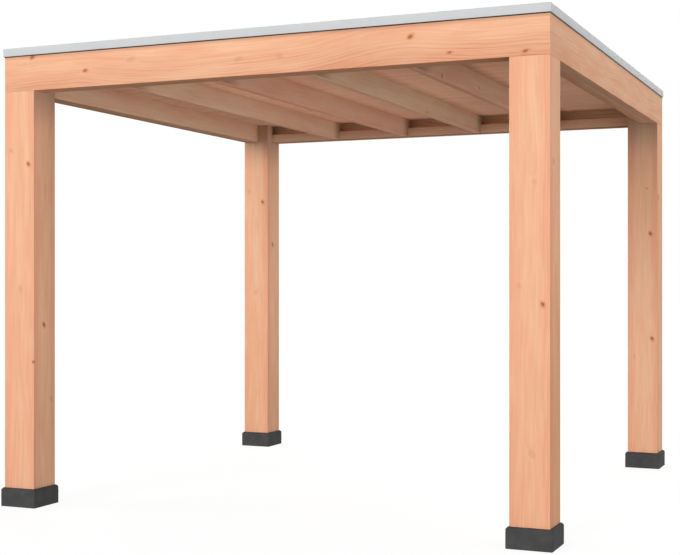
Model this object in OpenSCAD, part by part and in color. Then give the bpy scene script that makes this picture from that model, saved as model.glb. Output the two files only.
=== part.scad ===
// Patio cover: a square flat-roofed timber frame on four posts and four concrete pads.
// Millimetres. X runs to the right, Y to the back, Z up. The origin is on the ground, at the plan's centre.

/* [Frame] */
// Width over the faces of the left and right beams
cover_w = 3000; // [2400:50:4200]
// Depth over the faces of the front and back beams
cover_d = 3000; // [2400:50:4200]
// Height of the beams' undersides above the ground
clear_h = 2236; // [1900:1:2700]

/* [Pads and posts] */
// How far the square concrete pads stand out past the posts
pad_margin = 15; // [10:1:60]
// Height of the pads
pad_h = 100; // [60:5:200]
// Chamfer along the pads' four top edges
pad_chamfer = 9; // [2:1:14]
// Side of the square posts
post_s = 190; // [150:1:240]

/* [Beams and ledgers] */
// Thickness of the ring beams
beam_t = 45; // [35:1:60]
// Height of the ring beams
beam_h = 190; // [170:5:260]
// Thickness of the front and back ledgers
ledger_t = 66; // [40:1:80]
// Height of the front and back ledgers
ledger_h = 58; // [40:1:80]

/* [Joists] */
// Number of free joists between the two edge joists
joist_count = 4; // [4:1:4]
// Width of the free joists
joist_w = 45; // [35:1:60]
// Width of the two edge joists against the left and right beams
edge_joist_w = 66; // [40:1:80]
// Height of every joist
joist_h = 120; // [100:1:145]
// Distance in from the left and right faces to where the even spacing of the joists starts
joist_start = 172.5; // [120:0.5:260]

/* [Roof] */
// Thickness of the roof boards
deck_t = 18; // [12:1:28]
// Height of the edge battens that stand on the ring beams
batten_h = 40; // [25:1:60]
// Thickness of the roofing membrane
membrane_t = 2; // [1:0.5:3]
// How far the membrane's turned-down edge shows below the trim
membrane_show = 5; // [2:1:15]

/* [Trim] */
// Height of the roof trim's outer face
trim_h = 43; // [35:1:60]
// How far the trim's outer face stands out from the beams
trim_proud = 6; // [4:1:12]
// Wall of the trim profile
trim_wall = 2; // [1:0.5:2]
// Width of the trim's top flange, measured in from the beams' outer face
trim_flange = 44; // [30:1:60]

/* [Clearances] */
// Gap between a joist's end and the beam it meets, and at a ledger's ends
end_gap = 1; // [0:0.5:3]
// Gap between a joist's notch and the ledger's inner face
notch_gap = 0.5; // [0:0.5:3]
// Gap between a post's tongue and the ledger and joist beside it
tongue_gap = 0.5; // [0:0.5:3]
// Gap left round the deck for the boards to swell
deck_gap = 3; // [0:1:10]

/* [Hidden] */

// Sides are counted round the plan: 0 front, 1 right, 2 back, 3 left
FRONT = 0;
RIGHT = 1;
BACK = 2;
LEFT = 3;

// Levels, from the ground up
ledger_top = clear_h + ledger_h;
ceiling_z = clear_h + joist_h;
deck_top = ceiling_z + deck_t;
beam_top = clear_h + beam_h;
batten_top = beam_top + batten_h;
roof_top = batten_top + membrane_t + trim_wall;
trim_z = roof_top - trim_h;
lip_z = trim_z - membrane_show;

// Side of a pad
pad_s = post_s + 2 * pad_margin;

// Middle to middle of the free joists
joist_pitch = (cover_w - 2 * joist_start) / (joist_count + 1);

// Clear plan inside the ring beams
inner_w = cover_w - 2 * beam_t;
inner_d = cover_d - 2 * beam_t;

// Colours
CONCRETE = "#4a4a4b";
DOUGLAS = "#eeb08d";
DOUGLAS_SHADE = "#d79d7b";
BOARD = "#c99374";
RUBBER = "#262524";
ALUMINIUM = "#d5d5d4";

// Length of the side, and its distance from the plan's centre
function side_len(k) = k % 2 == 0 ? cover_w : cover_d;
function side_off(k) = (k % 2 == 0 ? cover_d : cover_w) / 2;

// Middle of free joist i, counted from 0 at the left
function joist_x(i) = (i - (joist_count - 1) / 2) * joist_pitch;

// Puts children drawn along X, with their outer face on y = 0 and y rising inwards, on a side of the plan
module on_side(k) {
    rotate([0, 0, 90 * k])
        translate([0, -side_off(k), 0])
            children();
}

// Plan of a rail with mitred ends: outwards past the side's face, and inwards from it
module mitred_plan(len, outwards, inwards) {
    polygon([
        [-len / 2 - outwards, -outwards],
        [len / 2 + outwards, -outwards],
        [len / 2 - inwards, inwards],
        [-len / 2 + inwards, inwards]
    ]);
}

// Puts children drawn from the outer corner at the origin, towards +X and +Y, on a corner of the plan
module on_corner(sx, sy) {
    mirror([sx > 0 ? 1 : 0, 0, 0])
        mirror([0, sy > 0 ? 1 : 0, 0])
            translate([-cover_w / 2, -cover_d / 2, 0])
                children();
}

// Plan of a rectangular ring: outer_w by outer_d, less a hole of hole_w by hole_d
module frame_plan(outer_w, outer_d, hole_w, hole_d) {
    difference() {
        square([outer_w, outer_d], center = true);
        square([hole_w, hole_d], center = true);
    }
}

// Side view of a pad: a rectangle with its two top corners cut off
module pad_profile() {
    polygon([
        [-pad_s / 2, 0],
        [pad_s / 2, 0],
        [pad_s / 2, pad_h - pad_chamfer],
        [pad_s / 2 - pad_chamfer, pad_h],
        [-pad_s / 2 + pad_chamfer, pad_h],
        [-pad_s / 2, pad_h - pad_chamfer]
    ]);
}

// A pad, centred under its post
module pad(sx, sy) {
    color(CONCRETE)
        on_corner(sx, sy)
            translate([post_s / 2, post_s / 2, 0])
                intersection() {
                    rotate([90, 0, 0])
                        linear_extrude(pad_s, center = true)
                            pad_profile();
                    rotate([90, 0, 90])
                        linear_extrude(pad_s, center = true)
                            pad_profile();
                }
}

// A post: square up to the beams, then a tongue in the corner behind them, up to the deck
module post(sx, sy) {
    tongue_x = beam_t + edge_joist_w + tongue_gap;
    tongue_y = beam_t + ledger_t + tongue_gap;
    color(DOUGLAS)
        on_corner(sx, sy)
            union() {
                translate([0, 0, pad_h])
                    cube([post_s, post_s, clear_h - pad_h]);
                translate([tongue_x, tongue_y, pad_h])
                    cube([post_s - tongue_x, post_s - tongue_y, ceiling_z - pad_h]);
            }
}

// One of the four outer beams
module ring_beam(k) {
    color(DOUGLAS)
        on_side(k)
            translate([0, 0, clear_h])
                linear_extrude(beam_h)
                    mitred_plan(side_len(k), 0, beam_t);
}

// The low rail behind the front or back beam that carries the joists' ends
module ledger(k) {
    len = inner_w - 2 * edge_joist_w - 2 * end_gap;
    color(DOUGLAS_SHADE)
        on_side(k)
            translate([-len / 2, beam_t, clear_h])
                cube([len, ledger_t, ledger_h]);
}

// A joist against the left or right beam, from the front beam to the back beam
module edge_joist(k) {
    len = inner_d - 2 * end_gap;
    color(DOUGLAS_SHADE)
        on_side(k)
            translate([-len / 2, beam_t, clear_h])
                cube([len, edge_joist_w, joist_h]);
}

// A free joist, notched at both ends to sit over the ledgers
module joist(i) {
    half = inner_d / 2 - end_gap;
    shoulder = inner_d / 2 - ledger_t - notch_gap;
    color(DOUGLAS_SHADE)
        translate([joist_x(i) - joist_w / 2, 0, 0])
            rotate([90, 0, 90])
                linear_extrude(joist_w)
                    polygon([
                        [-shoulder, clear_h],
                        [shoulder, clear_h],
                        [shoulder, ledger_top],
                        [half, ledger_top],
                        [half, ceiling_z],
                        [-half, ceiling_z],
                        [-half, ledger_top],
                        [-shoulder, ledger_top]
                    ]);
}

// The roof boards as one layer on the joists
module roof_deck() {
    color(BOARD)
        translate([0, 0, ceiling_z])
            linear_extrude(deck_t)
                square([inner_w - 2 * deck_gap, inner_d - 2 * deck_gap], center = true);
}

// A batten that stands on a ring beam and lifts the roof's edge
module edge_batten(k) {
    color(DOUGLAS_SHADE)
        on_side(k)
            translate([0, 0, beam_top])
                linear_extrude(batten_h)
                    mitred_plan(side_len(k), 0, beam_t);
}

// The roofing sheet: flat on the deck, up inside the edge, over the battens and down the outer face
module roof_membrane() {
    tray_w = inner_w - 2 * membrane_t;
    tray_d = inner_d - 2 * membrane_t;
    over_w = cover_w + 2 * membrane_t;
    over_d = cover_d + 2 * membrane_t;
    color(RUBBER)
        union() {
            translate([0, 0, deck_top])
                linear_extrude(membrane_t)
                    square([inner_w, inner_d], center = true);
            translate([0, 0, deck_top])
                linear_extrude(batten_top + membrane_t - deck_top)
                    frame_plan(inner_w, inner_d, tray_w, tray_d);
            translate([0, 0, batten_top])
                linear_extrude(membrane_t)
                    frame_plan(over_w, over_d, tray_w, tray_d);
            translate([0, 0, lip_z])
                linear_extrude(batten_top + membrane_t - lip_z)
                    frame_plan(over_w, over_d, cover_w, cover_d);
        }
}

// Cross-section of the roof trim, with y across the edge and z up: a face, a top flange and a bottom return
module trim_profile() {
    face_back = -trim_proud + trim_wall;
    flange_z = roof_top - trim_wall;
    polygon([
        [-trim_proud, trim_z],
        [-membrane_t, trim_z],
        [-membrane_t, trim_z + trim_wall],
        [face_back, trim_z + trim_wall],
        [face_back, flange_z],
        [trim_flange, flange_z],
        [trim_flange, roof_top],
        [-trim_proud, roof_top]
    ]);
}

// One length of roof trim, with mitred ends
module roof_trim(k) {
    len = side_len(k) + 2 * trim_proud;
    color(ALUMINIUM)
        on_side(k)
            intersection() {
                rotate([90, 0, 90])
                    linear_extrude(len, center = true)
                        trim_profile();
                translate([0, 0, trim_z])
                    linear_extrude(trim_h)
                        mitred_plan(side_len(k), trim_proud, trim_flange);
            }
}

pad(-1, -1);  // pad_front_left
pad(1, -1);  // pad_front_right
pad(-1, 1);  // pad_back_left
pad(1, 1);  // pad_back_right
post(-1, -1);  // post_front_left
post(1, -1);  // post_front_right
post(-1, 1);  // post_back_left
post(1, 1);  // post_back_right
ring_beam(FRONT);  // front_beam
ring_beam(RIGHT);  // right_beam
ring_beam(BACK);  // back_beam
ring_beam(LEFT);  // left_beam
ledger(FRONT);  // front_ledger
ledger(BACK);  // back_ledger
edge_joist(LEFT);  // left_edge_joist
edge_joist(RIGHT);  // right_edge_joist
joist(0);  // joist_1
joist(1);  // joist_2
joist(2);  // joist_3
joist(3);  // joist_4
roof_deck();
edge_batten(FRONT);  // front_edge_batten
edge_batten(RIGHT);  // right_edge_batten
edge_batten(BACK);  // back_edge_batten
edge_batten(LEFT);  // left_edge_batten
roof_membrane();
roof_trim(FRONT);  // front_trim
roof_trim(RIGHT);  // right_trim
roof_trim(BACK);  // back_trim
roof_trim(LEFT);  // left_trim
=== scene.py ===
"""Looks of a patio cover: planed Douglas fir, boarded ceiling, rubber roof, coated trim and cast pads.

Lengths in this file are millimetres unless a name or comment says metres; MM turns them into metres.
X runs to the right, Y to the back and Z up, and the origin is on the ground at the middle of the plan.
"""

import math

import bmesh
import bpy
import numpy as np
from mathutils import Euler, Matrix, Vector


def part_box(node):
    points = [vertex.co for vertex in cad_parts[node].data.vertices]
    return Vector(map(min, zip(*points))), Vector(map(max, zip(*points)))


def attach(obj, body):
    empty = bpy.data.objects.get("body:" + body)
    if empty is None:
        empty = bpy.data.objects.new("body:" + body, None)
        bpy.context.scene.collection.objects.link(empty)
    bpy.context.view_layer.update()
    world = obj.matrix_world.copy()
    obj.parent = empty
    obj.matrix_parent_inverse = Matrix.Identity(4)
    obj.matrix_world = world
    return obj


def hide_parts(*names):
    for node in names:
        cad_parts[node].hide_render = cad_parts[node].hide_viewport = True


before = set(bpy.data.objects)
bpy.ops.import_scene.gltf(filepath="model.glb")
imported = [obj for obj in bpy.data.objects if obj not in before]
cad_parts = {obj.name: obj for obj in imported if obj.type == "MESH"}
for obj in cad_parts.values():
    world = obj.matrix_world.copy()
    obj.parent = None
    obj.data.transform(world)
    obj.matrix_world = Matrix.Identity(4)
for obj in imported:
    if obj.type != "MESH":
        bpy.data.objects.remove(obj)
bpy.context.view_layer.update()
MM = 0.001


# ---------------------------------------------------------------- places on the frame

def corners(node):
    """A CAD node's lowest and highest corner in millimetres."""
    return [np.array(corner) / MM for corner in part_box(node)]


BEAM_FOOT, BEAM_TOP = (corner[2] for corner in corners("front_beam"))
BEAM_BACK = -corners("front_beam")[1][1]
LEDGER_FACE = corners("back_ledger")[0][1]
TRIM_FOOT = corners("front_trim")[0][2]
DECK_LOW, DECK_HIGH = corners("roof_deck")
BOARDS = 24
TONGUE = 6.0
BOARD_PITCH = (DECK_HIGH[1] - DECK_LOW[1] - TONGUE) / BOARDS


# ---------------------------------------------------------------- camera

# FOCAL and the place of the lens axis are in the same unit as the image's width and height
IMAGE_W, IMAGE_H = 680, 555
FOCAL = 1302.66
AXIS_X, AXIS_Y = 332.41, 279.76
SENSOR = 36.0
EYE_METRES = (2.9426, -7.2513, 1.2224)
EYE_TURN = 23.57

camera_data = bpy.data.cameras.new("camera")
camera_data.sensor_width = SENSOR
camera_data.lens = FOCAL * SENSOR / IMAGE_W
camera_data.shift_x = (IMAGE_W / 2 - AXIS_X) / IMAGE_W
camera_data.shift_y = (AXIS_Y - IMAGE_H / 2) / IMAGE_W
camera = bpy.data.objects.new("camera", camera_data)
camera.location = EYE_METRES
camera.rotation_euler = (math.radians(90), 0, math.radians(EYE_TURN))
bpy.context.scene.collection.objects.link(camera)
bpy.context.scene.camera = camera
bpy.context.scene.view_settings.view_transform = "Standard"


# ---------------------------------------------------------------- node and colour helpers

def linear(code):
    """A "#rrggbb" sRGB colour as linear RGBA."""
    channels = [int(code[k:k + 2], 16) / 255 for k in (1, 3, 5)]
    return tuple(c / 12.92 if c <= 0.04045 else ((c + 0.055) / 1.055) ** 2.4 for c in channels) + (1.0,)


def add(tree, kind, inputs, **settings):
    """Adds a shader node.

    settings are its properties, and inputs gives each socket a value or the socket that feeds it.
    """
    node = tree.nodes.new("ShaderNode" + kind)
    for name, value in settings.items():
        setattr(node, name, value)
    for socket, value in inputs.items():
        if isinstance(value, bpy.types.NodeSocket):
            tree.links.new(value, node.inputs[socket])
        else:
            node.inputs[socket].default_value = value
    return node


def new_material(name):
    """An empty node material and its tree."""
    material = bpy.data.materials.new(name)
    material.use_nodes = True
    material.node_tree.nodes.clear()
    return material, material.node_tree


# ---------------------------------------------------------------- shapes

def new_piece(name, points, faces, material, slot, *nodes):
    """A piece from points in millimetres. It rides on the frame and stands for the CAD nodes named."""
    mesh = bpy.data.meshes.new(name)
    mesh.from_pydata((np.asarray(points) * MM).tolist(), [], faces)
    mesh.shade_smooth()
    mesh.set_sharp_from_angle(angle=math.radians(32))
    mesh.materials.append(material)
    piece = bpy.data.objects.new(name, mesh)
    bpy.context.scene.collection.objects.link(piece)
    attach(piece, "root")
    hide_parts(*nodes)
    return piece


def rolling(points, wavelength, seed):
    """A smooth unevenness from 0 to 1 at each point: the mean of eight sine waves in random directions."""
    rng = np.random.default_rng(seed)
    way = rng.normal(size=(8, 3))
    way /= np.linalg.norm(way, axis=1, keepdims=True)
    pace = 2 * np.pi / (wavelength * rng.uniform(0.7, 1.6, 8))
    waves = np.sin(points @ (way * pace[:, None]).T + rng.uniform(0, 2 * np.pi, 8))
    return 0.5 + 0.5 * np.clip(waves.mean(-1) * 2, -1, 1)


def square_shell(rows, corner_steps, side_steps):
    """A closed shell of square rings round the Z axis.

    Each row is a ring's half side, corner radius and height, from the middle of the underside outwards, up
    and back to the middle of the top. A ring's point is half side * a + radius * b, where a is the square's
    corner, or on a straight side the blend of two corners, and b leads from that corner round its arc.
    """
    corner = np.array([(1, 1), (-1, 1), (-1, -1), (1, -1)], float)[:, None]
    turn = np.radians(90 * np.arange(4)[:, None] + np.linspace(0, 90, corner_steps + 1))
    curve = np.stack([np.cos(turn), np.sin(turn)], -1) - corner
    part = np.linspace(0, 1, side_steps + 1)[1:-1, None]
    straight = corner * (1 - part) + np.roll(corner, -1, 0) * part
    bend = curve[:, -1:] * (1 - part) + np.roll(curve, -1, 0)[:, :1] * part
    a = np.concatenate([np.broadcast_to(corner, curve.shape), straight], 1).reshape(-1, 2)
    b = np.concatenate([curve, bend], 1).reshape(-1, 2)
    half, radius, height = np.asarray(rows, float).T[:, :, None, None]
    plan = half * a + radius * b
    points = np.concatenate([plan, np.broadcast_to(height, plan.shape[:2] + (1,))], -1)
    m, n = points.shape[:2]
    points = np.vstack([points.reshape(-1, 3), (0, 0, height[0, 0, 0]), (0, 0, height[-1, 0, 0])])
    row, step = np.arange(m - 1)[:, None] * n, np.arange(n)
    ahead = (step + 1) % n
    walls = np.stack([row + step, row + ahead, row + n + ahead, row + n + step], -1).reshape(-1, 4)
    under = np.stack([np.full(n, m * n), ahead, step], -1)
    over = np.stack([np.full(n, m * n + 1), (m - 1) * n + step, (m - 1) * n + ahead], -1)
    return points, walls.tolist() + under.tolist() + over.tolist()


def bar(section, start, end):
    """A closed bar: a section of Y and Z points, anticlockwise seen from +X, carried along X.

    start and end are the X of the bar's two ends: one number for a square cut, or one for each point of
    the section for a mitre.
    """
    n = len(section)
    rings = [np.column_stack([np.broadcast_to(x, n), section]) for x in (start, end)]
    step = np.arange(n)
    ahead = (step + 1) % n
    walls = np.stack([step, ahead, n + ahead, n + step], -1).tolist()
    return np.vstack(rings), walls + [step[::-1].tolist(), (n + step).tolist()]


def arc(y, z, radius, first, last, steps):
    """Points of a circle's arc round (y, z), from one angle to another in degrees."""
    turn = np.radians(np.linspace(first, last, steps + 1))
    return np.column_stack([y + radius * np.cos(turn), z + radius * np.sin(turn)])


# ---------------------------------------------------------------- planed Douglas fir

CREAM = linear("#efb994")
BLUSH = linear("#edac89")
LATEWOOD = linear("#d48c66")
DARK_FIBRE = (0.94, 0.92, 0.90, 1.0)
PALE_FIBRE = (1.05, 1.07, 1.08, 1.0)
KNOT_HEART = linear("#b56a43")
KNOT_RIM = linear("#95522f")
KNOT_HALO = linear("#d98c64")
KNOT_DEPTH = 130.0
# how far up a post the painted shade at its foot reaches
FOOT_SHADE_HEIGHT = 1500.0
WHITE = (1.0, 1.0, 1.0, 1.0)
DOWN, LEFT, RIGHT, FRONT = (0, 0, -1), (-1, 0, 0), (1, 0, 0), (0, -1, 0)
WHOLE = ("Z", 0, 0, 1)   # ends a painted shade that covers its faces from end to end
GRAIN_TURN = {"X": (0, 0, 0), "Y": (0, 0, -math.pi / 2), "Z": (0, math.pi / 2, 0)}


def knot_cones(tree, log, turn, shift, knots):
    """How much each point is in a knot, and how far it is from the nearest one.

    A knot is a cone from an apex KNOT_DEPTH inside the timber. The cosine between its axis and the line from
    the apex to a point is 1 on the axis and the spread's cosine at the rim, which gives both measures. The
    distance is 0 on the axis, 1 at the rim, and about the square of the radii further out. A faint knot
    counts as further away, so that it bends the rings less.
    """
    mask = 0.0
    near = 50.0
    for place, out, radius, dark in knots:
        centre = turn @ Vector(place) + shift
        out = (turn @ Vector(out)).normalized()
        apex = centre - out * KNOT_DEPTH
        spread = math.atan(radius / KNOT_DEPTH)
        ray = add(tree, "VectorMath", {0: log, 1: apex}, operation="SUBTRACT").outputs[0]
        ray = add(tree, "VectorMath", {0: ray}, operation="NORMALIZE").outputs[0]
        cosine = add(tree, "VectorMath", {0: ray, 1: out}, operation="DOT_PRODUCT").outputs["Value"]
        soft = {"Value": cosine, "From Min": math.cos(spread * 1.15), "From Max": math.cos(spread * 0.45),
                "To Min": 0.0, "To Max": dark}
        cone = add(tree, "MapRange", soft, interpolation_type="SMOOTHSTEP").outputs[0]
        mask = add(tree, "Math", {0: mask, 1: cone}, operation="MAXIMUM").outputs[0]
        far = add(tree, "MapRange", {"Value": cosine, "From Min": 1.0, "From Max": math.cos(spread)},
                  clamp=False).outputs[0]
        faint = {0: 1 - min(dark * 1.5, 1), 1: 6.0, 2: far}
        far = add(tree, "Math", faint, operation="MULTIPLY_ADD").outputs[0]
        near = add(tree, "Math", {0: near, 1: far}, operation="MINIMUM").outputs[0]
    return mask, near


def paint_shades(tree, colour, facing, axes, painted_shades):
    """A colour with the painted light and shade multiplied in: each tint is its face's share times its
    distance's share.
    """
    for way, tint, axis, place, start, end in painted_shades:
        side = add(tree, "VectorMath", {0: facing, 1: way}, operation="DOT_PRODUCT").outputs["Value"]
        side = add(tree, "MapRange", {"Value": side, "From Min": 0.4, "From Max": 0.9}).outputs[0]
        away = axes["XYZ".index(axis)]
        away = add(tree, "Math", {0: away, 1: place * MM}, operation="SUBTRACT").outputs[0]
        away = add(tree, "Math", {0: away}, operation="ABSOLUTE").outputs[0]
        away = add(tree, "MapRange", {"Value": away, "From Min": start * MM, "From Max": end * MM},
                   interpolation_type="SMOOTHSTEP").outputs[0]
        side = add(tree, "Math", {0: side, 1: away}, operation="MULTIPLY").outputs[0]
        side = add(tree, "Mix", {0: side, 6: WHITE, 7: (*tint, 1)}, data_type="RGBA").outputs[2]
        colour = add(tree, "VectorMath", {0: colour, 1: side}, operation="MULTIPLY").outputs[0]
    return colour


def planed_douglas(name, along, pith, ring=6.0, wander=30.0, seed=0.0, span=(100, 200),
                   knots=(), swerves=(), figure=1.0, foot_shade=None, wash=None, painted_shades=()):
    """Planed, unfinished Douglas fir, sawn from a log whose pith runs along one axis at the place pith.

    The eye gets cream wood that turns to blush towards the outside of the log, rings that the faces cut
    into straight lines or long arches, fine fibre streaks, and red-brown knots that the rings flow round.

    ring is a year's growth: real rings of 2 to 4 mm are too fine to show, so several are drawn as one.
    wander is how far the pith strays, seed moves the pattern along the log, and span gives the two
    distances from the pith between which cream turns to blush. A knot is a cone: its place on a face, its
    direction outwards, its radius there and how dark it is. A swerve lifts the pith at a place along it:
    that place, the lift and the width. Where along is None, the place in the log comes from the piece's
    own "log" attribute. figure is how plainly the rings show. The tint that a post gets towards its foot is
    painted shade, darker low down, and wash is a tint over the whole. Each of the shades paints light and
    shade on the faces that look one way: that way, the tint, and then an axis, a place on it, and the two
    distances from that place between which the tint grows. They paint darker faces under the roof, on
    undersides, beside the ledgers and in the nooks, and lighter and darker stretches where light falls.
    """
    material, tree = new_material("planed_douglas_" + name)
    turn = Euler(GRAIN_TURN[along or "X"]).to_matrix()
    shift = -(turn @ Vector(pith))
    facing = add(tree, "NewGeometry", {}).outputs["Normal"]
    here = add(tree, "TexCoord", {}).outputs["Object"]
    axes = add(tree, "SeparateXYZ", {0: here}).outputs
    if along:
        log = add(tree, "Mapping", {"Vector": here, "Location": shift, "Rotation": turn.to_euler(),
                                    "Scale": (1000, 1000, 1000)}).outputs[0]
        facing_in_log = add(tree, "Mapping", {"Vector": facing, "Rotation": turn.to_euler()},
                            vector_type="NORMAL").outputs[0]
    else:
        log = add(tree, "Attribute", {}, attribute_name="log").outputs["Vector"]
        facing_in_log = facing

    mask, near = knot_cones(tree, log, turn, shift, knots)

    # Rings: the distance from a gently wandering pith, in steps of one year's growth
    slow = add(tree, "VectorMath", {0: log, 1: (seed, 0, 0)}, operation="ADD").outputs[0]
    slow = add(tree, "VectorMath", {0: slow, 1: (1 / 480, 1 / 300, 1 / 300)},
               operation="MULTIPLY").outputs[0]
    slow = add(tree, "TexNoise", {"Vector": slow, "Scale": 1.0, "Detail": 2.0,
                                  "Roughness": 0.4}).outputs["Color"]
    slow = add(tree, "VectorMath", {0: slow, 1: (0.5, 0.5, 0.5)}, operation="SUBTRACT").outputs[0]
    slow = add(tree, "VectorMath", {0: slow, 1: (0, 3 * wander, 3 * wander)},
               operation="MULTIPLY").outputs[0]
    core = add(tree, "VectorMath", {0: log, 1: slow}, operation="ADD").outputs[0]
    flat = add(tree, "VectorMath", {0: core, 1: (0, 1, 1)}, operation="MULTIPLY").outputs[0]
    radius = add(tree, "VectorMath", {0: flat}, operation="LENGTH").outputs["Value"]
    length = add(tree, "SeparateXYZ", {0: log}).outputs[0]
    bent = core
    for place, lift, width in swerves:
        at = add(tree, "Math", {0: length, 1: 1 / width, 2: -place / width},
                 operation="MULTIPLY_ADD").outputs[0]
        at = add(tree, "Math", {0: at, 1: at}, operation="MULTIPLY").outputs[0]
        at = add(tree, "Math", {0: at, 1: -1.0}, operation="MULTIPLY").outputs[0]
        at = add(tree, "Math", {0: at}, operation="EXPONENT").outputs[0]
        at = add(tree, "Math", {0: at, 1: -lift}, operation="MULTIPLY").outputs[0]
        at = add(tree, "CombineXYZ", {2: at}).outputs[0]
        bent = add(tree, "VectorMath", {0: bent, 1: at}, operation="ADD").outputs[0]
    rings = add(tree, "VectorMath", {0: bent, 1: (0, 1, 1)}, operation="MULTIPLY").outputs[0]
    rings = add(tree, "VectorMath", {0: rings}, operation="LENGTH").outputs["Value"]
    if knots:
        swell = add(tree, "Math", {0: near, 1: -0.16}, operation="MULTIPLY").outputs[0]
        swell = add(tree, "Math", {0: swell}, operation="EXPONENT").outputs[0]
        rings = add(tree, "Math", {0: swell, 1: 9.0, 2: rings}, operation="MULTIPLY_ADD").outputs[0]
    pace = add(tree, "TexNoise", {"W": rings, "Scale": 1 / 38, "Detail": 0.0},
               noise_dimensions="1D").outputs[0]
    years = add(tree, "Math", {0: rings, 1: 1 / ring}, operation="MULTIPLY").outputs[0]
    years = add(tree, "Math", {0: pace, 1: 4.0, 2: years}, operation="MULTIPLY_ADD").outputs[0]
    season = add(tree, "Math", {0: years}, operation="FRACT").outputs[0]
    year = add(tree, "Math", {0: years}, operation="FLOOR").outputs[0]
    rise = add(tree, "MapRange", {"Value": season, "From Min": 0.35, "From Max": 0.85},
               interpolation_type="SMOOTHSTEP").outputs[0]
    fall = add(tree, "MapRange", {"Value": season, "From Min": 1.0, "From Max": 0.88},
               interpolation_type="SMOOTHSTEP").outputs[0]
    late = add(tree, "Math", {0: rise, 1: fall}, operation="MULTIPLY").outputs[0]
    vigour = add(tree, "TexWhiteNoise", {"W": year}, noise_dimensions="1D").outputs["Value"]
    patch = add(tree, "VectorMath", {0: log, 1: (1 / 330, 1 / 50, 1 / 50)}, operation="MULTIPLY").outputs[0]
    patch = add(tree, "TexNoise", {"Vector": patch, "Scale": 1.0, "Detail": 1.0}).outputs[0]
    vigour = add(tree, "Math", {0: vigour, 1: patch}, operation="MULTIPLY").outputs[0]
    vigour = add(tree, "MapRange", {"Value": vigour, "From Min": 0.05, "From Max": 0.5,
                                    "To Min": 0.15 * figure, "To Max": figure}).outputs[0]
    line = add(tree, "Math", {0: late, 1: vigour}, operation="MULTIPLY").outputs[0]

    # Where a face lies along the rings, they spread out and fade
    outward = add(tree, "VectorMath", {0: flat}, operation="NORMALIZE").outputs[0]
    along_ring = add(tree, "VectorMath", {0: outward, 1: facing_in_log},
                     operation="DOT_PRODUCT").outputs["Value"]
    along_ring = add(tree, "Math", {0: along_ring}, operation="ABSOLUTE").outputs[0]
    fade = add(tree, "MapRange", {"Value": along_ring, "From Min": 0.98, "From Max": 0.6, "To Min": 0.12},
               interpolation_type="SMOOTHSTEP").outputs[0]
    line = add(tree, "Math", {0: line, 1: fade}, operation="MULTIPLY").outputs[0]

    # Tone: cream to blush outwards through the log, with some zones of either, and fibres along the grain
    zone = add(tree, "Math", {0: radius, 1: 1 / 42, 2: seed}, operation="MULTIPLY_ADD").outputs[0]
    stretch = add(tree, "Math", {0: length, 1: 1 / 1900}, operation="MULTIPLY").outputs[0]
    zone = add(tree, "CombineXYZ", {0: stretch, 1: zone}).outputs[0]
    zone = add(tree, "TexNoise", {"Vector": zone, "Scale": 1.0, "Detail": 2.0, "Roughness": 0.6},
               noise_dimensions="2D").outputs[0]
    zone = add(tree, "Math", {0: zone, 1: 1.6, 2: -0.8}, operation="MULTIPLY_ADD").outputs[0]
    blush = add(tree, "MapRange", {"Value": radius, "From Min": span[0], "From Max": span[1],
                                   "To Min": 0.1, "To Max": 0.9}).outputs[0]
    zone = add(tree, "Math", {0: blush, 1: zone}, operation="ADD").outputs[0]
    zone = add(tree, "Math", {0: patch, 1: 2.2, 2: zone}, operation="MULTIPLY_ADD").outputs[0]
    zone = add(tree, "Math", {0: zone, 1: 1.1}, operation="SUBTRACT", use_clamp=True).outputs[0]
    fibre = add(tree, "VectorMath", {0: bent, 1: (1 / 300, 1 / 7, 1 / 7)}, operation="MULTIPLY").outputs[0]
    fibre = add(tree, "TexNoise", {"Vector": fibre, "Scale": 1.0, "Detail": 3.0,
                                   "Roughness": 0.65}).outputs[0]
    shade = add(tree, "MapRange", {"Value": fibre, "From Min": 0.3, "From Max": 0.7}).outputs[0]
    shade = add(tree, "Mix", {0: shade, 6: DARK_FIBRE, 7: PALE_FIBRE}, data_type="RGBA").outputs[2]
    colour = add(tree, "Mix", {0: zone, 6: CREAM, 7: BLUSH}, data_type="RGBA").outputs[2]
    colour = add(tree, "Mix", {0: line, 6: colour, 7: LATEWOOD}, data_type="RGBA").outputs[2]
    colour = add(tree, "VectorMath", {0: colour, 1: shade}, operation="MULTIPLY").outputs[0]
    if knots:
        halo = add(tree, "MapRange", {"Value": near, "From Min": 5.0, "From Max": 1.0, "To Max": 0.6},
                   interpolation_type="SMOOTHSTEP").outputs[0]
        colour = add(tree, "Mix", {0: halo, 6: colour, 7: KNOT_HALO}, data_type="RGBA").outputs[2]
        heart = add(tree, "MapRange", {"Value": near, "From Min": 0.2, "From Max": 0.9}).outputs[0]
        knot = add(tree, "Mix", {0: heart, 6: KNOT_HEART, 7: KNOT_RIM}, data_type="RGBA").outputs[2]
        colour = add(tree, "Mix", {0: mask, 6: colour, 7: knot}, data_type="RGBA").outputs[2]
    # Painted shade: a post darkens towards its foot, where less light reaches it
    if foot_shade:
        foot = add(tree, "MapRange", {"Value": length, "From Min": 0.0, "From Max": FOOT_SHADE_HEIGHT,
                                      "To Min": 1.0, "To Max": 0.0},
                   interpolation_type="SMOOTHSTEP").outputs[0]
        foot = add(tree, "Mix", {0: foot, 6: WHITE, 7: (*foot_shade, 1)}, data_type="RGBA").outputs[2]
        colour = add(tree, "VectorMath", {0: colour, 1: foot}, operation="MULTIPLY").outputs[0]
    # Painted light and shade on the faces and places that the shades name
    colour = paint_shades(tree, colour, facing, axes, painted_shades)
    if wash:
        colour = add(tree, "VectorMath", {0: colour, 1: wash}, operation="MULTIPLY").outputs[0]

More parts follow.
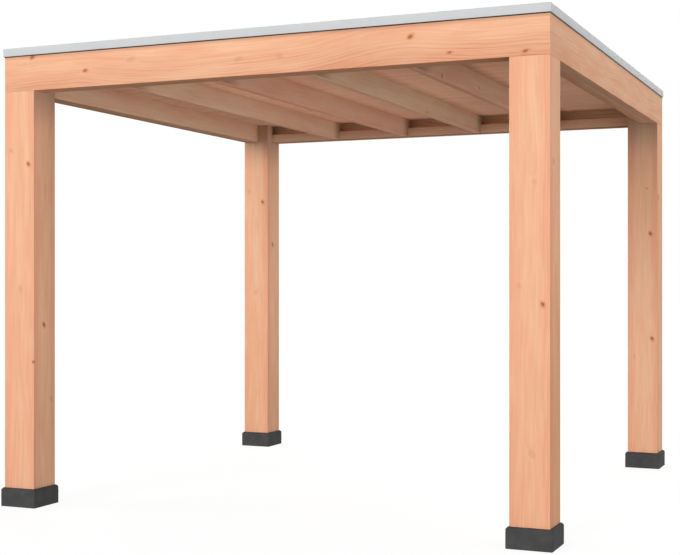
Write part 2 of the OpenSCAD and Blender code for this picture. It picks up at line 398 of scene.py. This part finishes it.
    gloss = add(tree, "MapRange", {"Value": fibre, "From Min": 0.3, "From Max": 0.7,
                                   "To Min": 0.74, "To Max": 0.86}).outputs[0]
    relief = add(tree, "Math", {0: line, 1: 1.5, 2: fibre}, operation="MULTIPLY_ADD").outputs[0]
    bump = add(tree, "Bump", {"Height": relief, "Strength": 0.5, "Distance": 0.12 * MM}).outputs[0]
    shader = add(tree, "BsdfPrincipled", {"Base Color": colour, "Roughness": gloss, "Normal": bump,
                                          "IOR": 1.45, "Specular IOR Level": 0.02 if foot_shade else 0.0})
    add(tree, "OutputMaterial", {"Surface": shader.outputs[0]})
    return material


# ---------------------------------------------------------------- posts, beams, ledgers and joists

ARRIS = 1.5


def eased_timber(node, material):
    """A copy of a timber's mesh, its doubles merged and its flat faces joined, with every arris rounded."""
    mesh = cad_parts[node].data.copy()
    shape = bmesh.new()
    shape.from_mesh(mesh)
    bmesh.ops.remove_doubles(shape, verts=shape.verts, dist=0.01 * MM)
    bmesh.ops.dissolve_limit(shape, angle_limit=math.radians(1), verts=shape.verts, edges=shape.edges)
    for face in shape.faces:
        face.smooth = True
    shape.to_mesh(mesh)
    shape.free()
    mesh.materials.clear()
    mesh.materials.append(material)
    piece = bpy.data.objects.new(node + "_timber", mesh)
    bpy.context.scene.collection.objects.link(piece)
    bevel = piece.modifiers.new("arris", "BEVEL")
    bevel.width = ARRIS * MM
    bevel.segments = 2
    bevel.limit_method = "ANGLE"
    bevel.harden_normals = True
    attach(piece, "root")
    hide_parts(node)


# The way a knot points: mostly out of its face, and aside and down as a branch leaves the pith
OUT_FRONT = (0.35, -0.72, -0.6)
OUT_RIGHT = (0.72, 0.35, -0.6)
OUT_BACK = (-0.35, 0.72, -0.6)
OUT_LEFT = (-0.72, -0.35, -0.6)
KNOTS = {   # place on the face, direction, radius and how dark
    "post_front_left": [
        ((-1346, -1500, 1844), OUT_FRONT, 8.5, 0.95), ((-1400, -1500, 1176), OUT_FRONT, 15, 0.13),
        ((-1460, -1500, 1920), OUT_FRONT, 12, 0.18), ((-1313, -1500, 782), (0.5, -0.7, -0.2), 7, 0.6),
        ((-1310, -1410, 980), OUT_RIGHT, 9, 1.0), ((-1310, -1346, 576), OUT_RIGHT, 14, 0.18),
        ((-1438, -1310, 1390), OUT_BACK, 9, 0.9), ((-1500, -1372, 1730), OUT_LEFT, 9, 0.9),
    ],
    "post_front_right": [
        ((1466, -1500, 1112), OUT_FRONT, 8, 1.0), ((1356, -1500, 1196), OUT_FRONT, 12, 0.12),
        ((1426, -1500, 1666), OUT_FRONT, 12, 0.13), ((1416, -1500, 436), OUT_FRONT, 17, 0.14),
        ((1500, -1434, 1760), OUT_RIGHT, 15, 0.23), ((1352, -1310, 905), OUT_BACK, 9, 0.9),
        ((1310, -1450, 1515), OUT_LEFT, 8, 0.7),
    ],
    "post_back_left": [
        ((-1352, 1310, 1794), OUT_FRONT, 9, 1.0), ((-1410, 1310, 1130), OUT_FRONT, 15, 0.13),
        ((-1464, 1310, 1876), OUT_FRONT, 12, 0.18), ((-1310, 1390, 1484), OUT_RIGHT, 9, 0.9),
        ((-1424, 1500, 690), OUT_BACK, 9, 0.9), ((-1500, 1438, 1236), OUT_LEFT, 10, 1.0),
    ],
    "post_back_right": [
        ((1456, 1310, 1522), OUT_FRONT, 9, 1.0), ((1466, 1310, 842), OUT_FRONT, 9, 1.0),
        ((1352, 1310, 726), OUT_FRONT, 12, 0.12), ((1500, 1344, 1760), OUT_RIGHT, 10, 0.8),
        ((1372, 1500, 1810), OUT_BACK, 10, 0.9), ((1310, 1366, 1120), OUT_LEFT, 8, 0.6),
    ],
    "front_beam": [
        ((-1319, -1500, 2416), (0.6, -0.5, 0.5), 9, 0.85),
        ((-985, -1500, 2321), (0.75, -0.65, 0.1), 7.5, 0.9),
        ((-707, -1500, 2359), (0.8, -0.5, 0.3), 15, 0.13), ((-80, -1500, 2320), (0.8, -0.5, 0.2), 14, 0.12),
        ((147, -1500, 2320), (0.7, -0.6, -0.2), 14, 0.11),
        ((831, -1500, 2363), (0.65, -0.65, 0.38), 8.5, 1.0),
        ((1025, -1500, 2277), (0.9, -0.42, 0.05), 4.5, 0.9),
        ((1385, -1500, 2258), (0.87, -0.45, 0.2), 5.8, 1.0),
    ],
    "right_beam": [
        ((1500, -902, 2336), (0.8, 0.4, 0.2), 12, 0.18), ((1500, -503, 2337), (0.8, 0.4, 0.2), 12, 0.18),
        ((1500, 640, 2292), (0.8, 0.5, -0.1), 14, 0.14),
    ],
    "back_beam": [
        ((1180, 1500, 2388), (-0.4, 0.8, 0.3), 9, 1.0), ((402, 1500, 2296), (-0.3, 0.9, 0.1), 8, 0.9),
        ((-366, 1500, 2341), (-0.6, 0.7, 0.2), 15, 0.18), ((-1090, 1500, 2272), (-0.5, 0.8, 0.1), 8, 1.0),
    ],
    "left_beam": [
        ((-1500, 1020, 2301), (-0.8, -0.4, 0.2), 8, 0.9), ((-1500, 130, 2372), (-0.8, -0.5, 0.1), 10, 1.0),
        ((-1500, -870, 2285), (-0.8, -0.3, 0.2), 14, 0.2),
    ],
    "joist_4": [((819, -999, 2252), OUT_RIGHT, 7, 0.9), ((819, -369, 2276), OUT_RIGHT, 6, 0.7)],
    "joist_3": [((288, 280, 2246), OUT_RIGHT, 6, 0.8)],
}
POSTS = {   # wash, the painted shade at the foot, and the painted light and shade that only this post has
    # Painted shade low on the faces to the right; on the front right post also a darker band about 850 mm up
    # and a cooler, lighter top, and on the back right post a darker top to the front face
    "post_front_left": ((1.01, 1.05, 1.08), (0.96, 0.93, 0.92), [
        (RIGHT, (0.88, 0.905, 0.91), "Z", 0, 1100, 150)]),
    "post_front_right": ((1.0, 1.01, 1.04), (0.97, 0.94, 0.92), [
        (RIGHT, (0.88, 0.86, 0.84), "Z", 0, 1100, 150), (RIGHT, (0.92, 0.91, 0.87), "Z", 850, 600, 150),
        (RIGHT, (1.0, 1.05, 1.10), "Z", BEAM_FOOT, 700, 100)]),
    "post_back_left": ((1.01, 1.07, 1.10), (0.96, 0.91, 0.89), [
        (RIGHT, (0.85, 0.86, 0.85), "Z", 0, 1100, 150)]),
    "post_back_right": ((0.99, 1.03, 1.06), (0.99, 0.98, 0.97), [
        (FRONT, (0.92, 0.97, 1.0), "Z", BEAM_FOOT, 400, 100)]),
}
ROOF_SHADE = (0.62, 0.72, 0.79)   # painted shade on a post's inner faces close to the ceiling, where the roof keeps light off
LOG_HEIGHT = 2400.0               # where the beams' pith runs, and where the painted shade under the roof is at its full
for k, (name, (wash, foot, painted_shades)) in enumerate(POSTS.items()):
    low, high = corners(name)
    x, y, _ = (low + high) / 2
    # Painted shade high on the faces that look inwards, under the roof
    inward_shade = [((-math.copysign(1, x), 0, 0), ROOF_SHADE, "Z", LOG_HEIGHT, 420, 140),
              ((0, -math.copysign(1, y), 0), ROOF_SHADE, "Z", LOG_HEIGHT, 390, 120)]
    wood = planed_douglas(name, "Z", (x + 6, y + 8, 0), wander=8, seed=3.1 + 700 * k, span=(90, 132),
                          knots=KNOTS[name], foot_shade=foot, wash=wash, painted_shades=inward_shade + painted_shades)
    eased_timber(name, wood)

# Painted shade on the undersides of beams and rails, where little light reaches
UNDERSIDE_SHADE = (0.80, 0.70, 0.64)
BEAMS = {   # the axis along it, the pith's X and Y, figure, wash and the tints, mostly painted light and shade, that only this beam has
    # Front beam: a paler stretch to the left and a redder one to the right, and painted shadow below the
    # trim
    "front_beam": ("X", 0, -1390, 1.0, (1.0, 1.0, 1.02), [
        (FRONT, (1.01, 1.05, 1.06), "X", -560, 750, 250), (FRONT, (0.96, 0.93, 0.93), "X", 600, 450, 50),
        (FRONT, (0.80, 0.76, 0.74), "Z", BEAM_TOP, 26, 6)]),
    # Right beam: painted light, darker towards the front end and lighter in the middle, a cooler painted
    # shade underneath, and painted shadow below the trim
    "right_beam": ("Y", 1390, 0, 0.5, (1.01, 1.09, 1.18), [
        (RIGHT, (0.96, 0.93, 0.92), "Y", -1300, 450, 100), (RIGHT, (1.01, 1.03, 1.04), "Y", 0, 650, 300),
        (DOWN, (0.95, 1.08, 1.13), *WHOLE), (RIGHT, (0.85, 0.82, 0.80), "Z", BEAM_TOP, 22, 4)]),
    # Back beam: painted shade on its inner face
    "back_beam": ("X", 0, 1390, 1.0, (0.98, 0.98, 0.97), [(FRONT, (0.78, 0.96, 1.02), *WHOLE)]),
    # Left beam: extra painted shade on its underside
    "left_beam": ("Y", -1390, 0, 0.8, (1.0, 1.02, 1.03), [(DOWN, (0.72, 0.86, 0.95), *WHOLE)]),
}
SWERVES = {"front_beam": [(760, 85, 420), (1500, 60, 420), (-1250, 45, 420)],
           "right_beam": [(300, 30, 420)], "back_beam": [(-500, 90, 400)], "left_beam": [(-400, 60, 380)]}
for k, (name, (along, x, y, figure, wash, painted_shades)) in enumerate(BEAMS.items()):
    wood = planed_douglas(name, along, (x, y, LOG_HEIGHT), ring=8.5, wander=14, seed=1.7 + 900 * k,
                          span=(60, 240), knots=KNOTS[name], swerves=SWERVES[name], figure=figure,
                          wash=wash, painted_shades=[(DOWN, UNDERSIDE_SHADE, *WHOLE), *painted_shades])
    eased_timber(name, wood)

# The rails' washes are cooler and greyer: painted to cancel the warm light bounced between the timbers under
# the roof
RAILS = {   # the axis along it, wash, and the tint painted on the underside for the light and shade there
    "front_ledger": ("X", (0.85, 1.05, 1.18), UNDERSIDE_SHADE),
    "back_ledger": ("X", (0.77, 0.94, 1.05), UNDERSIDE_SHADE),
    "left_edge_joist": ("Y", (0.87, 1.08, 1.21), UNDERSIDE_SHADE),
    "right_edge_joist": ("Y", (0.9, 1.0, 1.08), (0.78, 0.72, 0.70)),
    "joist_1": ("Y", (0.88, 1.11, 1.26), (1.06, 0.92, 0.86)),
    "joist_2": ("Y", (0.835, 0.95, 1.08), (1.24, 1.06, 1.0)),
    "joist_3": ("Y", (0.79, 1.05, 1.18), (1.28, 1.06, 1.0)),
    "joist_4": ("Y", (0.72, 0.87, 1.01), (1.24, 1.06, 1.0)),
}
JOIST_END_SHADE = (0.62, 0.62, 0.60)   # painted shade on a joist's sides where they meet the ledgers
for k, (name, (along, wash, under)) in enumerate(RAILS.items()):
    low, high = corners(name)
    pith = (low + high) / 2 + (-70, 70, -55 + 14 * k)
    painted_shades = [(DOWN, under, *WHOLE)]
    if along == "Y":
        # Painted shade on the joists' sides near both ledgers
        painted_shades += [(way, JOIST_END_SHADE, "Y", -LEDGER_FACE, 260, 60) for way in (LEFT, RIGHT)]
        painted_shades += [(way, JOIST_END_SHADE, "Y", LEDGER_FACE, 130, 10) for way in (LEFT, RIGHT)]
    wood = planed_douglas(name, along, pith, ring=5.0, wander=10, seed=50 + 37 * k, span=(50, 170),
                          knots=KNOTS.get(name, ()), figure=0.6, wash=wash, painted_shades=painted_shades)
    eased_timber(name, wood)

wood = planed_douglas("battens", "X", (0, 60, LOG_HEIGHT), ring=5.0, seed=11.0)
for name in ("front_edge_batten", "right_edge_batten", "back_edge_batten", "left_edge_batten"):
    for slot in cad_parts[name].material_slots:
        slot.material = wood


# ---------------------------------------------------------------- roof boards

BOARD_GAP = 0.4
V_CUT = 1.0
NOOK_SHADES = (   # a rail, how dark the painted shade on the boards is close beside it, and how far that reaches
    ("left_edge_joist", 0.68, 290), ("joist_1", 0.86, 80), ("joist_2", 0.82, 80),
    ("joist_3", 0.74, 90), ("joist_4", 0.53, 95), ("right_edge_joist", 0.8, 90),
)


def roof_boards():
    """Tongued and grooved boards across the joists, joined in one piece.

    Every board is one section carried along X, and its "log" attribute holds each point's place in the
    board's own log.
    """
    low, high = DECK_LOW, DECK_HIGH
    face = BOARD_PITCH - BOARD_GAP
    thick = high[2] - low[2]
    section = np.array([
        (V_CUT, 0), (face - V_CUT, 0), (face, V_CUT), (face, 6.2), (face + TONGUE, 6.6),
        (face + TONGUE, 11.4), (face, 11.8), (face, thick), (0, thick), (0, 12.4), (TONGUE + 0.6, 12.0),
        (TONGUE + 0.6, 6.0), (0, 5.6), (0, V_CUT)])
    rng = np.random.default_rng(5)
    points, faces, log = [], [], []
    for k in range(BOARDS):
        shape, sides = bar(section + (low[1] + k * BOARD_PITCH, low[2]), low[0], high[0])
        pith = np.array([rng.uniform(-9000, 9000), low[1] + (k + rng.uniform(0, 1)) * BOARD_PITCH,
                         low[2] - rng.uniform(30, 90)])
        faces += [[corner + k * len(shape) for corner in side] for side in sides]
        points.append(shape)
        log.append(shape - pith)
    # Painted light and shade on the ceiling: lighter across the middle, darker along the right bay, and
    # painted shade beside each rail; the cooler wash is painted to cancel the warm light bounced between the
    # timbers
    painted_shades = [(DOWN, (1.08, 1.08, 1.09), "Y", 60, 900, 250),
              (DOWN, (0.92, 0.90, 0.87), "X", 1150, 330, 250)]
    for name, tint, reach in NOOK_SHADES:
        left, right = (corner[0] for corner in corners(name))
        half = (right - left) / 2
        painted_shades.append((DOWN, (tint, tint, tint * 0.97), "X", left + half, half + reach, half + 5))
    wood = planed_douglas("boards", None, (0, 0, 0), ring=5.0, wander=9, span=(40, 110),
                          figure=0.5, wash=(1.09, 1.19, 1.29), painted_shades=painted_shades)
    piece = new_piece("ceiling_boards", np.vstack(points), faces, wood, "roof_boards", "roof_deck")
    place = piece.data.attributes.new("log", "FLOAT_VECTOR", "POINT")
    place.data.foreach_set("vector", np.vstack(log).astype(np.float32).ravel())


roof_boards()


# ---------------------------------------------------------------- cast pads

def anthracite_concrete():
    """Anthracite concrete, cast in a steel mould.

    The eye gets a dark grey skin, clouded over some 60 mm, with lighter and darker grit of 2 to 4 mm and a
    few air holes, all of it dull.
    """
    material, tree = new_material("cast_anthracite_concrete")
    here = add(tree, "TexCoord", {}).outputs["Object"]
    here = add(tree, "Mapping", {"Vector": here, "Scale": (1000, 1000, 1000)}).outputs[0]
    cloud = add(tree, "TexNoise", {"Vector": here, "Scale": 1 / 60, "Detail": 3.0}).outputs[0]
    colour = add(tree, "Mix", {0: cloud, 6: linear("#34383c"), 7: linear("#514e4b")},
                 data_type="RGBA").outputs[2]
    grit = add(tree, "TexVoronoi", {"Vector": here, "Scale": 1 / 4.5}).outputs
    tint = add(tree, "SeparateColor", {0: grit["Color"]}).outputs
    stone = add(tree, "MapRange", {"Value": grit["Distance"], "From Min": 0.45, "From Max": 0.2}).outputs[0]
    some = add(tree, "MapRange", {"Value": tint[0], "From Min": 0.55, "From Max": 0.75,
                                  "To Min": 0.0, "To Max": 0.55}).outputs[0]
    stone = add(tree, "Math", {0: stone, 1: some}, operation="MULTIPLY").outputs[0]
    pebble = add(tree, "Mix", {0: tint[1], 6: linear("#2c2c2e"), 7: linear("#74726e")},
                 data_type="RGBA").outputs[2]
    colour = add(tree, "Mix", {0: stone, 6: colour, 7: pebble}, data_type="RGBA").outputs[2]
    hole = add(tree, "TexVoronoi", {"Vector": here, "Scale": 1 / 19}).outputs["Distance"]
    hole = add(tree, "MapRange", {"Value": hole, "From Min": 0.07, "From Max": 0.11,
                                  "To Min": 1.0, "To Max": 0.0}).outputs[0]
    colour = add(tree, "Mix", {0: hole, 6: colour, 7: linear("#1d1d1e")}, data_type="RGBA").outputs[2]
    fine = add(tree, "TexNoise", {"Vector": here, "Scale": 1 / 1.8, "Detail": 4.0,
                                  "Roughness": 0.7}).outputs[0]
    gloss = add(tree, "MapRange", {"Value": fine, "From Min": 0.3, "From Max": 0.7,
                                   "To Min": 0.8, "To Max": 0.95}).outputs[0]
    relief = add(tree, "Math", {0: hole, 1: -2.0, 2: fine}, operation="MULTIPLY_ADD").outputs[0]
    bump = add(tree, "Bump", {"Height": relief, "Strength": 0.8, "Distance": 0.5 * MM}).outputs[0]
    shader = add(tree, "BsdfPrincipled", {"Base Color": colour, "Roughness": gloss, "Normal": bump,
                                          "IOR": 1.5, "Specular IOR Level": 0.15})
    add(tree, "OutputMaterial", {"Surface": shader.outputs[0]})
    return material


def cast_pad(node, concrete, seed):
    """A square shell with rounded upright corners and a chamfered top.

    Its sides are pressed in by up to 0.5 mm of a broad unevenness and 0.3 mm of a fine one.
    """
    low, high = corners(node)
    half = (high[0] - low[0]) / 2
    top = high[2]
    cut = 9.0
    wall = [(half, 3.5, z) for z in np.linspace(2.5, top - cut - 1.2, 14)]
    rows = [(30, 3.5, 0), (70, 3.5, 0), (half - 2, 3.5, 0), (half - 0.6, 3.5, 0.7)] + wall
    rows += [(half - 0.4, 3.5, top - cut), (half - 1.2, 3.5, top - cut + 1), (half - cut + 1.2, 3, top - 1),
             (half - cut, 3, top - 0.3), (half - cut - 1.2, 3, top), (70, 3, top), (30, 3, top)]
    points, faces = square_shell(rows, 4, 22)
    dent = 0.5 * rolling(points, 45, seed) + 0.3 * rolling(points, 14, seed + 1)
    points[:, :2] *= 1 - (dent / half)[:, None]
    points += ((low[0] + high[0]) / 2, (low[1] + high[1]) / 2, 0)
    new_piece(node + "_cast", points, faces, concrete, "concrete_pads", node)


concrete = anthracite_concrete()
for k, name in enumerate(["pad_front_left", "pad_front_right", "pad_back_left", "pad_back_right"]):
    cast_pad(name, concrete, 20 + 2 * k)


# ---------------------------------------------------------------- roofing membrane

LIP_SHOWS = 5.0              # how far the turned-down edge hangs out below the trim
LIP_SHADOW_EDGE = BEAM_TOP + 10.0   # where the painted shadow on the turned-down edge is at its full, from 8 mm above


def sheet_rubber():
    """Black roofing rubber, calendered in a sheet.

    The eye gets a soft black with a dusty bloom in broad clouds, fine roller grain, and the lines of the
    roof boards showing through where they meet. Its turned-down edge is painted dark brown: painted
    shadow below the trim.
    """
    material, tree = new_material("black_roofing_rubber")
    here = add(tree, "TexCoord", {}).outputs["Object"]
    here = add(tree, "Mapping", {"Vector": here, "Scale": (1000, 1000, 1000)}).outputs[0]
    bloom = add(tree, "TexNoise", {"Vector": here, "Scale": 1 / 420, "Detail": 5.0,
                                   "Roughness": 0.6}).outputs[0]
    bloom = add(tree, "MapRange", {"Value": bloom, "From Min": 0.35, "From Max": 0.7}).outputs[0]
    colour = add(tree, "Mix", {0: bloom, 6: linear("#2b2a29"), 7: linear("#3b3a38")},
                 data_type="RGBA").outputs[2]
    dust = add(tree, "TexNoise", {"Vector": here, "Scale": 1 / 9, "Detail": 3.0}).outputs[0]
    dust = add(tree, "MapRange", {"Value": dust, "From Min": 0.55, "From Max": 0.8,
                                  "To Min": 0.0, "To Max": 0.5}).outputs[0]
    colour = add(tree, "Mix", {0: dust, 6: colour, 7: linear("#504e4a")}, data_type="RGBA").outputs[2]
    axes = add(tree, "SeparateXYZ", {0: here}).outputs
    # Painted shadow: the turned-down edge below the trim, outside the beams, goes dark brown
    lip = add(tree, "MapRange", {"Value": axes[2], "From Min": LIP_SHADOW_EDGE + 8,
                                 "From Max": LIP_SHADOW_EDGE}).outputs[0]
    wide = add(tree, "Math", {0: axes[0]}, operation="ABSOLUTE").outputs[0]
    deep = add(tree, "Math", {0: axes[1]}, operation="ABSOLUTE").outputs[0]
    out = add(tree, "Math", {0: wide, 1: deep}, operation="MAXIMUM").outputs[0]
    out = add(tree, "MapRange", {"Value": out, "From Min": BEAM_BACK + 15,
                                 "From Max": BEAM_BACK + 35}).outputs[0]
    lip = add(tree, "Math", {0: lip, 1: out}, operation="MULTIPLY").outputs[0]
    colour = add(tree, "Mix", {0: lip, 6: colour, 7: linear("#20160f")}, data_type="RGBA").outputs[2]
    gloss = add(tree, "MapRange", {"Value": bloom, "To Min": 0.5, "To Max": 0.72}).outputs[0]
    joint = add(tree, "Math", {0: axes[1], 1: TONGUE / 2}, operation="ADD").outputs[0]
    joint = add(tree, "Math", {0: joint, 1: BOARD_PITCH / 2}, operation="PINGPONG").outputs[0]
    joint = add(tree, "MapRange", {"Value": joint, "From Min": 0.0, "From Max": 5.0},
                interpolation_type="SMOOTHSTEP").outputs[0]
    grain = add(tree, "TexNoise", {"Vector": here, "Scale": 1 / 5, "Detail": 2.0}).outputs[0]
    relief = add(tree, "Math", {0: grain, 1: 0.4, 2: joint}, operation="MULTIPLY_ADD").outputs[0]
    bump = add(tree, "Bump", {"Height": relief, "Strength": 0.6, "Distance": 0.6 * MM}).outputs[0]
    shader = add(tree, "BsdfPrincipled", {"Base Color": colour, "Roughness": gloss, "Normal": bump,
                                          "IOR": 1.52, "Specular IOR Level": 0.35})
    add(tree, "OutputMaterial", {"Surface": shader.outputs[0]})
    return material


def roofing_sheet(rubber):
    """One sheet: flat on the boards, up inside the roof's edge, over the battens and down outside.

    It is a square shell whose rows follow the sheet's underside out to its turned-down edge, and then its
    upper side back to the middle; the flat part lies in soft waves up to 1.6 mm high.
    """
    outer, _, crest = corners("roof_membrane")[1]
    bed = DECK_HIGH[2]
    inner = BEAM_BACK
    lip = TRIM_FOOT - LIP_SHOWS
    middle = [(r, 2, bed + 0.1) for r in (120, 480, 900, 1300)]
    rows = middle + [(inner - 3, 2, bed + 0.1), (inner - 0.3, 2, bed + 2.5), (inner - 0.3, 2, crest - 1.8),
                     (outer - 1.7, 2, crest - 1.8), (outer - 1.7, 2, lip)]
    rows += [(outer, 3, lip), (outer, 3, crest - 4), (outer - 0.6, 3, crest - 1.4), (outer - 2.4, 3, crest)]
    rows += [(inner + 3, 5, crest), (inner - 0.6, 5, crest - 1.4), (inner - 1.8, 5, crest - 4),
             (inner - 1.8, 5, bed + 18), (inner - 2.4, 5, bed + 11), (inner - 5, 6, bed + 6),
             (inner - 10, 8, bed + 3), (inner - 17, 8, bed + 1.9)]
    rows += [(r, 8, bed + 1.7) for r in np.arange(1390, 10, -60)]
    points, faces = square_shell(rows, 3, 48)
    loose = np.clip((inner - 17 - np.abs(points[:, :2]).max(1)) / 60, 0, 1) * (points[:, 2] > bed + 1)
    points[:, 2] += 1.6 * loose * rolling(points * (1, 1, 0), 420, 9) ** 1.5
    new_piece("roofing_sheet", points, faces, rubber, "roofing_membrane", "roof_membrane")


roofing_sheet(sheet_rubber())


# ---------------------------------------------------------------- roof trim

def coated_aluminium():
    """Aluminium trim, extruded and powder-coated light grey.

    The eye gets an even satin grey with a hint of the extrusion's long lines, faint cloudy dust, and a
    fine orange-peel grain that only breaks up its sheen.
    """
    material, tree = new_material("powder_coated_aluminium")
    here = add(tree, "TexCoord", {}).outputs["Object"]
    here = add(tree, "Mapping", {"Vector": here, "Scale": (1000, 1000, 1000)}).outputs[0]
    cloud = add(tree, "TexNoise", {"Vector": here, "Scale": 1 / 240, "Detail": 4.0}).outputs[0]
    colour = add(tree, "Mix", {0: cloud, 6: linear("#c3c5c7"), 7: linear("#cecfcf")},
                 data_type="RGBA").outputs[2]
    level = add(tree, "SeparateXYZ", {0: here}).outputs[2]
    draw = add(tree, "TexNoise", {"W": level, "Scale": 1 / 5, "Detail": 2.0},
               noise_dimensions="1D").outputs[0]
    draw = add(tree, "MapRange", {"Value": draw, "From Min": 0.3, "From Max": 0.7,
                                  "To Min": 0.97, "To Max": 1.03}).outputs[0]
    colour = add(tree, "VectorMath", {0: colour, "Scale": draw}, operation="SCALE").outputs[0]
    peel = add(tree, "TexNoise", {"Vector": here, "Scale": 1 / 3, "Detail": 1.0}).outputs[0]
    gloss = add(tree, "MapRange", {"Value": peel, "From Min": 0.3, "From Max": 0.7,
                                   "To Min": 0.48, "To Max": 0.58}).outputs[0]
    shader = add(tree, "BsdfPrincipled", {"Base Color": colour, "Roughness": gloss, "IOR": 1.5,
                                          "Specular IOR Level": 0.2})
    add(tree, "OutputMaterial", {"Surface": shader.outputs[0]})
    return material


MITRE_GAP = 0.15


def roof_trim(node, quarter, coating):
    """A trim rail with mitred ends, turned round the plan by quarters.

    Its section, seen from +X with the outside to the left, is a flat face with a rounded top edge, a top
    flange that ends in a bead, and a return at the foot. A point of the section ends at an X as far from
    the middle of the plan as its Y, less the mitre's gap, which makes the mitre.
    """
    (_, face, foot), (_, flange, top) = corners("front_trim")
    wall = 2.0
    bead = 1.2
    shoulder = 4.0
    back = -corners("roof_membrane")[1][1] - 0.2
    section = np.vstack([
        arc(face + bead, foot + bead, bead, 180, 270, 3),
        [(back, foot), (back, foot + wall), (face + wall, foot + wall), (face + wall, top - shoulder)],
        arc(face + shoulder, top - shoulder, shoulder - wall, 180, 90, 3),
        [(flange - 3.0, top - wall)],
        arc(flange - bead, top - bead, bead, -90, 90, 4),
        arc(face + shoulder, top - shoulder, shoulder, 90, 180, 5),
    ])
    reach = -section[:, 0] - MITRE_GAP
    points, faces = bar(section, -reach, reach)
    turn = np.radians(90 * quarter)
    spin = np.array([(np.cos(turn), -np.sin(turn), 0), (np.sin(turn), np.cos(turn), 0), (0, 0, 1)])
    new_piece(node + "_rail", points @ spin.T, faces, coating, "roof_trim", node)


coating = coated_aluminium()
for k, name in enumerate(["front_trim", "right_trim", "back_trim", "left_trim"]):
    roof_trim(name, k, coating)


# ---------------------------------------------------------------- stage and light

def seen_directly(tree):
    """1 for what the camera sees at once, in a reflection or through glass, and 0 for light that bounces."""
    path = add(tree, "LightPath", {}).outputs
    seen = add(tree, "Math", {0: path["Is Camera Ray"], 1: path["Is Glossy Ray"]},
               operation="MAXIMUM").outputs[0]
    return add(tree, "Math", {0: seen, 1: path["Is Transmission Ray"]}, operation="MAXIMUM").outputs[0]


def stage_floor():
    """A plain floor, 60 m each way, that shows as nearly white and still takes the object's shadow.

    The light that a bright floor would throw up comes from the low lamp, so the floor neither adds to it
    nor stands in its way.
    """
    reach = 60.0
    points = [(-reach, -reach, 0), (reach, -reach, 0), (reach, reach, 0), (-reach, reach, 0)]
    mesh = bpy.data.meshes.new("floor")
    mesh.from_pydata(points, [], [(0, 1, 2, 3)])
    floor = bpy.data.objects.new("floor", mesh)
    bpy.context.scene.collection.objects.link(floor)
    material, tree = new_material("floor")
    dull = add(tree, "BsdfDiffuse", {"Color": (0.15, 0.15, 0.15, 1)}).outputs[0]
    glow = add(tree, "Emission", {"Color": WHITE, "Strength": 0.9}).outputs[0]
    white = add(tree, "AddShader", {0: dull, 1: glow}).outputs[0]
    mixed = add(tree, "MixShader", {0: seen_directly(tree), 1: dull, 2: white}).outputs[0]
    add(tree, "OutputMaterial", {"Surface": mixed})
    mesh.materials.append(material)
    floor.location.z = -0.5 * MM
    floor.visible_diffuse = False
    floor.visible_shadow = False


def sun(name, azimuth, elevation, level, softness):
    """A distant lamp.

    Azimuth 0 shines from the front and 90 from the right, and level is what it adds to a white face that
    looks straight at it.
    """
    data = bpy.data.lights.new(name, "SUN")
    data.energy = level * math.pi
    data.angle = math.radians(softness)
    lamp = bpy.data.objects.new(name, data)
    lamp.rotation_euler = (math.radians(90 - elevation), 0, math.radians(azimuth))
    bpy.context.scene.collection.objects.link(lamp)


stage_floor()
world = bpy.data.worlds.new("world")
bpy.context.scene.world = world
world.use_nodes = True
tree = world.node_tree
tree.nodes.clear()
level = add(tree, "MapRange", {"Value": seen_directly(tree), "To Min": 0.03, "To Max": 1.0}).outputs[0]
sky = add(tree, "Background", {"Color": WHITE, "Strength": level}).outputs[0]
add(tree, "OutputWorld", {"Surface": sky})

# Azimuth, elevation, level and softness
sun("front", -10, 8, 0.59, 40)
sun("front_high", -10, 50, 0.11, 20)
sun("left", -65, 15, 0.50, 40)
sun("right", 87, 16, 0.37, 70)
sun("back", 195, 20, 0.40, 60)
sun("top", 170, 62, 0.25, 60)
sun("low", 75, -45, 0.44, 100)
